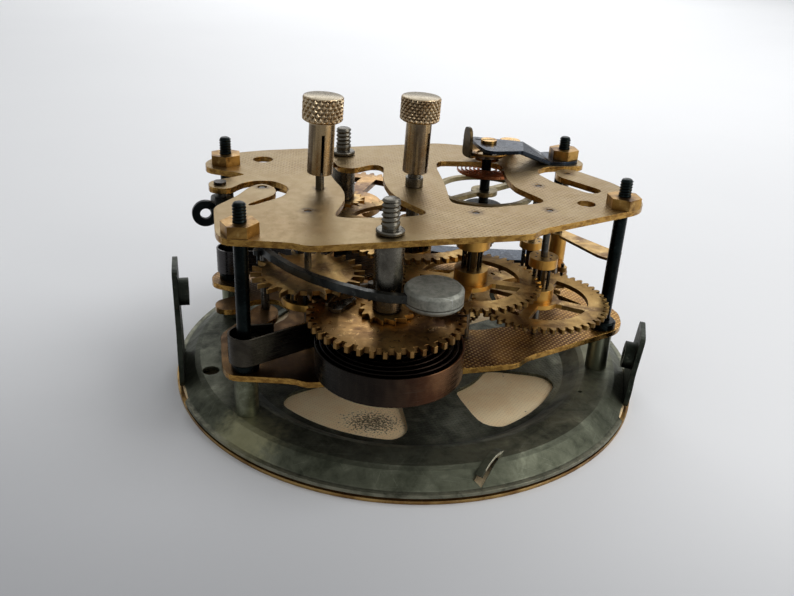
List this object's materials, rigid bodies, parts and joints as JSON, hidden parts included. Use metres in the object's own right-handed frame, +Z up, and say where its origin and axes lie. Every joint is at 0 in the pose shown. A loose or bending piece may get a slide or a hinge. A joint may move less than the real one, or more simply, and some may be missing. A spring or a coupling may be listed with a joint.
{
  "type": "alarm clock movement",
  "caption": "Wind-up alarm clock movement between two brass plates, with going train, lever escapement, balance, alarm train and hammer, on a dished base with its dial below.",
  "frame": {"origin": "on the axis of the hand arbor, in the plane the dial rests on", "axes": "+Z up, from the dial towards the back plate and knobs; +X from the left pillars to the right pillars; +Y away from the front edge"},
  "size_m": [0.088, 0.088, 0.0529],
  "materials": {
    "zinc_steel": "dull zinc-plated pressed sheet",
    "dial_brass": "plain brass sheet with a rolled edge",
    "card": "pale board, specked",
    "plate_brass": "matt stamped brass with a fine embossed grain",
    "blackened_steel": "blackened and oiled steel",
    "bright_steel": "drawn steel wire and turned posts",
    "dark_steel": "turned steel with oil film",
    "gear_brass": "stamped and turned brass",
    "blued_steel": "blued steel strip",
    "hairspring_copper": "copper-coloured spring strip",
    "spring_steel": "tempered spring strip",
    "spring_brown": "brown tempered spring strip",
    "hammer_grey": "dull grey cast head",
    "knob_nickel": "warm nickel plate, knurled"
  },
  "bodies": {
    "movement_frame": {"base_plate": "zinc_steel", "side_tabs": "zinc_steel", "dial_plate": "dial_brass", "dial_card": "card", "dial_posts": "bright_steel", "front_plate": "plate_brass", "back_plate": "plate_brass", "pillars": "blackened_steel", "pillar_nuts": "gear_brass", "balance_bridge_upper": "blued_steel", "balance_bridge_lower": "blued_steel", "balance_screws": "gear_brass", "hairspring": "hairspring_copper", "hairspring_stud": "gear_brass", "stop_lever_rivet": "bright_steel", "minute_stud": "bright_steel", "going_mainspring": "spring_steel", "alarm_mainspring": "spring_brown"},
    "going_great": {"going_great_wheel": "gear_brass", "going_click_spring": "bright_steel"},
    "going_winding": {"going_winding_arbor": "dark_steel", "going_ratchet": "gear_brass"},
    "going_click_body": {"going_click": "blackened_steel"},
    "centre_wheel_body": {"centre_wheel": "gear_brass", "centre_trundles": "bright_steel"},
    "second_wheel_body": {"second_wheel": "gear_brass", "second_arbor": "bright_steel", "second_trundles": "bright_steel"},
    "third_wheel_body": {"third_wheel": "gear_brass", "third_arbor": "bright_steel", "third_trundles": "bright_steel"},
    "escape_wheel_body": {"escape_wheel": "gear_brass", "escape_arbor": "bright_steel", "escape_trundles": "bright_steel"},
    "pallet_body": {"pallet_lever": "gear_brass", "pallet_arbor": "bright_steel", "pallet_pins": "blackened_steel"},
    "balance_body": {"balance_wheel": "gear_brass", "balance_staff": "blackened_steel"},
    "alarm_great": {"alarm_great_wheel": "gear_brass", "alarm_click_spring": "bright_steel"},
    "alarm_winding": {"alarm_winding_arbor": "dark_steel", "alarm_ratchet": "gear_brass"},
    "alarm_click_body": {"alarm_click": "blackened_steel"},
    "alarm_escape_body": {"alarm_escape_wheel": "gear_brass", "alarm_escape_arbor": "bright_steel", "alarm_trundles": "bright_steel"},
    "hammer": {"hammer_arm": "blackened_steel", "hammer_arbor": "bright_steel", "hammer_head": "hammer_grey"},
    "regulator_body": {"regulator": "gear_brass"},
    "alarm_stop": {"alarm_stop_lever": "blackened_steel"},
    "hand_set": {"centre_arbor": "dark_steel", "hand_knob": "knob_nickel", "cannon_pinion": "gear_brass"},
    "minute_wheel_body": {"minute_wheel": "gear_brass"},
    "hour_wheel_body": {"hour_wheel": "gear_brass"},
    "alarm_set": {"alarm_set_arbor": "dark_steel", "alarm_knob": "knob_nickel"},
    "alarm_disc": {"alarm_wheel": "gear_brass"}
  },
  "joints": [
    {"name": "going_great_turn", "type": "hinge", "parent": "movement_frame", "child": "going_great", "pos_m": [-0.008, 0.0214, 0.0257], "axis": [0, 0, 1], "continuous": true},
    {"name": "going_winding_turn", "type": "hinge", "parent": "going_great", "child": "going_winding", "pos_m": [-0.008, 0.0214, 0.0267], "axis": [0, 0, 1], "continuous": true},
    {"name": "going_click_body_turn", "type": "hinge", "parent": "going_great", "child": "going_click_body", "pos_m": [-0.0151, 0.0255, 0.0267], "axis": [0, 0, 1], "range_deg": [0, 12], "stiffness_Nm_per_rad": 0.00004},
    {"name": "centre_wheel_body_turn", "type": "hinge", "parent": "movement_frame", "child": "centre_wheel_body", "pos_m": [0, 0, 0.0277], "axis": [0, 0, 1], "continuous": true},
    {"name": "second_wheel_body_turn", "type": "hinge", "parent": "movement_frame", "child": "second_wheel_body", "pos_m": [0.0061, -0.0152, 0.0237], "axis": [0, 0, 1], "continuous": true},
    {"name": "third_wheel_body_turn", "type": "hinge", "parent": "movement_frame", "child": "third_wheel_body", "pos_m": [0.0192, -0.0163, 0.0197], "axis": [0, 0, 1], "continuous": true},
    {"name": "escape_wheel_body_turn", "type": "hinge", "parent": "movement_frame", "child": "escape_wheel_body", "pos_m": [0.0231, -0.0036, 0.0167], "axis": [0, 0, 1], "continuous": true},
    {"name": "pallet_body_turn", "type": "hinge", "parent": "movement_frame", "child": "pallet_body", "pos_m": [0.0321, 0.0024, 0.0197], "axis": [0, 0, 1], "range_deg": [-4, 4]},
    {"name": "balance_body_turn", "type": "hinge", "parent": "movement_frame", "child": "balance_body", "pos_m": [0.0199, 0.0136, 0.0297], "axis": [0, 0, 1], "range_deg": [-150, 150], "stiffness_Nm_per_rad": 0.000012},
    {"name": "alarm_great_turn", "type": "hinge", "parent": "movement_frame", "child": "alarm_great", "pos_m": [-0.0108, -0.0216, 0.0217], "axis": [0, 0, 1], "continuous": true},
    {"name": "alarm_winding_turn", "type": "hinge", "parent": "alarm_great", "child": "alarm_winding", "pos_m": [-0.0108, -0.0216, 0.0237], "axis": [0, 0, 1], "continuous": true},
    {"name": "alarm_click_body_turn", "type": "hinge", "parent": "alarm_great", "child": "alarm_click_body", "pos_m": [-0.01851, -0.01879, 0.0227], "axis": [0, 0, 1], "range_deg": [0, 12], "stiffness_Nm_per_rad": 0.00004},
    {"name": "alarm_escape_body_turn", "type": "hinge", "parent": "movement_frame", "child": "alarm_escape_body", "pos_m": [-0.0214, -0.0096, 0.0247], "axis": [0, 0, 1], "continuous": true},
    {"name": "hammer_turn", "type": "hinge", "parent": "movement_frame", "child": "hammer", "pos_m": [-0.0269, 0.0037, 0.0267], "axis": [0, 0, 1], "range_deg": [-4.5, 0.8]},
    {"name": "regulator_body_turn", "type": "hinge", "parent": "movement_frame", "child": "regulator_body", "pos_m": [0.0199, 0.0136, 0.0375], "axis": [0, 0, 1], "range_deg": [-14, 14]},
    {"name": "alarm_stop_turn", "type": "hinge", "parent": "movement_frame", "child": "alarm_stop", "pos_m": [-0.0339, 0.0065, 0.033], "axis": [0, 0, 1], "range_deg": [-8, 8]},
    {"name": "hand_set_turn", "type": "hinge", "parent": "movement_frame", "child": "hand_set", "pos_m": [0, 0, 0.0217], "axis": [0, 0, 1], "continuous": true},
    {"name": "minute_wheel_body_turn", "type": "hinge", "parent": "movement_frame", "child": "minute_wheel_body", "pos_m": [0.00902, 0.00328, 0.0087], "axis": [0, 0, 1], "continuous": true},
    {"name": "hour_wheel_body_turn", "type": "hinge", "parent": "movement_frame", "child": "hour_wheel_body", "pos_m": [0, 0, 0.0073], "axis": [0, 0, 1], "continuous": true},
    {"name": "alarm_set_turn", "type": "hinge", "parent": "movement_frame", "child": "alarm_set", "pos_m": [-0.0171, 0.0012, 0.0217], "axis": [0, 0, 1], "continuous": true},
    {"name": "alarm_disc_turn", "type": "hinge", "parent": "movement_frame", "child": "alarm_disc", "pos_m": [0, 0, 0.0055], "axis": [0, 0, 1], "continuous": true}
  ],
  "couplings": [
    {"joint": "second_wheel_body_turn", "follows": "third_wheel_body_turn", "ratio": -0.125},
    {"joint": "centre_wheel_body_turn", "follows": "third_wheel_body_turn", "ratio": 0.013393},
    {"joint": "going_great_turn", "follows": "third_wheel_body_turn", "ratio": -0.0020926},
    {"joint": "escape_wheel_body_turn", "follows": "third_wheel_body_turn", "ratio": -8},
    {"joint": "alarm_escape_body_turn", "follows": "alarm_great_turn", "ratio": -3.3333},
    {"joint": "minute_wheel_body_turn", "follows": "hand_set_turn", "ratio": -0.33333},
    {"joint": "hour_wheel_body_turn", "follows": "hand_set_turn", "ratio": 0.083333},
    {"joint": "alarm_disc_turn", "follows": "alarm_set_turn", "ratio": -0.5}
  ]
}
